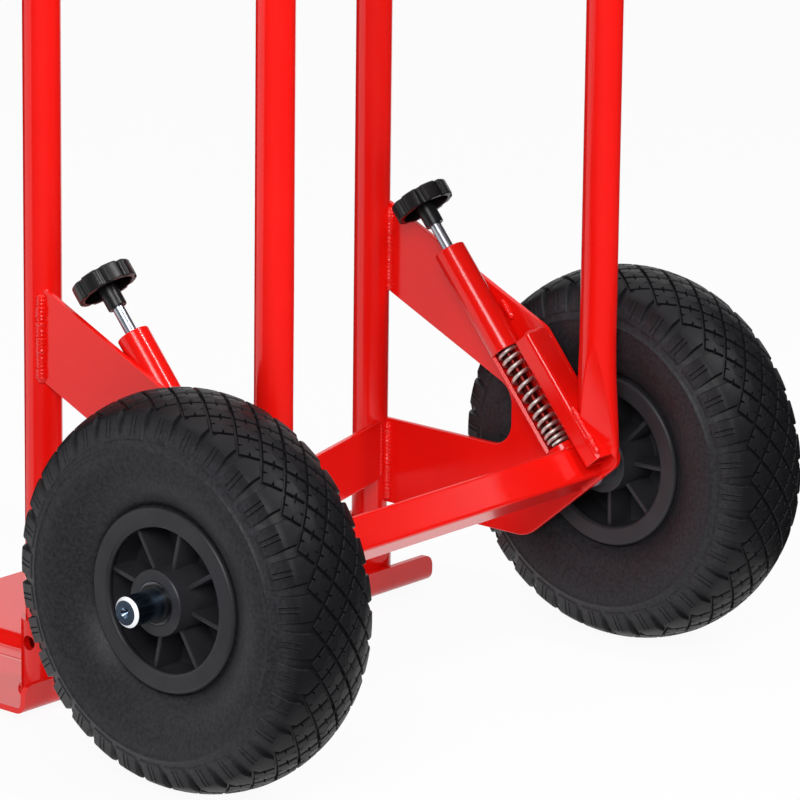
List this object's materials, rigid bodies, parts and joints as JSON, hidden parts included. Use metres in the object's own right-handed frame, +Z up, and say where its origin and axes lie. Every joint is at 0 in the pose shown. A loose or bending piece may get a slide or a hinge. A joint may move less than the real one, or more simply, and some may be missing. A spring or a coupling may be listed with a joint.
{
  "type": "hand truck",
  "caption": "Hand truck with looped tube side frames, a pressed toe plate, treaded wheels on a cross axle and sprung knob plungers that lock the axle.",
  "frame": {"origin": "on the floor below the middle of the truck's outline", "axes": "+X to the truck's right, +Y forward over the toe plate, +Z up"},
  "size_m": [0.57, 0.5149, 1.117],
  "materials": {
    "red_paint": "glossy powder coat",
    "zinc_steel": "bright zinc plate",
    "bearing_steel": "ground",
    "black_nylon": "satin moulded",
    "tyre_rubber": "satin moulded rubber",
    "grip_rubber": "matt"
  },
  "bodies": {
    "frame": {"axle": "zinc_steel", "cross_bar": "red_paint", "toe_plate": "red_paint", "brace_low": "red_paint", "brace_middle": "red_paint", "brace_top": "red_paint", "front_upright_left": "red_paint", "front_upright_right": "red_paint", "handle_bend_left": "red_paint", "handle_bend_right": "red_paint", "rear_upright_left": "red_paint", "rear_upright_right": "red_paint", "grip_left": "grip_rubber", "grip_right": "grip_rubber", "side_plate_left": "red_paint", "side_plate_right": "red_paint", "strut_left": "red_paint", "strut_right": "red_paint", "guide_tube_left": "red_paint", "guide_tube_right": "red_paint", "spring_seat_left": "zinc_steel", "spring_seat_right": "zinc_steel", "spring_left": "zinc_steel", "spring_right": "zinc_steel", "socket_left": "red_paint", "socket_right": "red_paint", "axle_spacer_left": "zinc_steel", "axle_spacer_right": "zinc_steel", "retaining_washer_left": "black_nylon", "retaining_washer_right": "black_nylon"},
    "wheel_left": {"tyre_left": "tyre_rubber", "rim_left": "black_nylon", "bearing_inner_left": "bearing_steel", "bearing_outer_left": "bearing_steel"},
    "wheel_right": {"tyre_right": "tyre_rubber", "rim_right": "black_nylon", "bearing_inner_right": "bearing_steel", "bearing_outer_right": "bearing_steel"},
    "plunger_left": {"plunger_rod_left": "zinc_steel", "knob_left": "black_nylon"},
    "plunger_right": {"plunger_rod_right": "zinc_steel", "knob_right": "black_nylon"}
  },
  "joints": [
    {"name": "wheel_left_spin", "type": "hinge", "parent": "frame", "child": "wheel_left", "pos_m": [-0.2215, -0.1275, 0.13], "axis": [1, 0, 0], "continuous": true},
    {"name": "wheel_right_spin", "type": "hinge", "parent": "frame", "child": "wheel_right", "pos_m": [0.2215, -0.1275, 0.13], "axis": [1, 0, 0], "continuous": true},
    {"name": "plunger_left_pull", "type": "slide", "parent": "frame", "child": "plunger_left", "axis": [0, 0.6428, 0.766], "range_m": [0, 0.016], "stiffness_N_per_m": 5300, "springref_m": -0.008, "deforming": ["spring_left"]},
    {"name": "plunger_right_pull", "type": "slide", "parent": "frame", "child": "plunger_right", "axis": [0, 0.6428, 0.766], "range_m": [0, 0.016], "stiffness_N_per_m": 5300, "springref_m": -0.008, "deforming": ["spring_right"]}
  ]
}
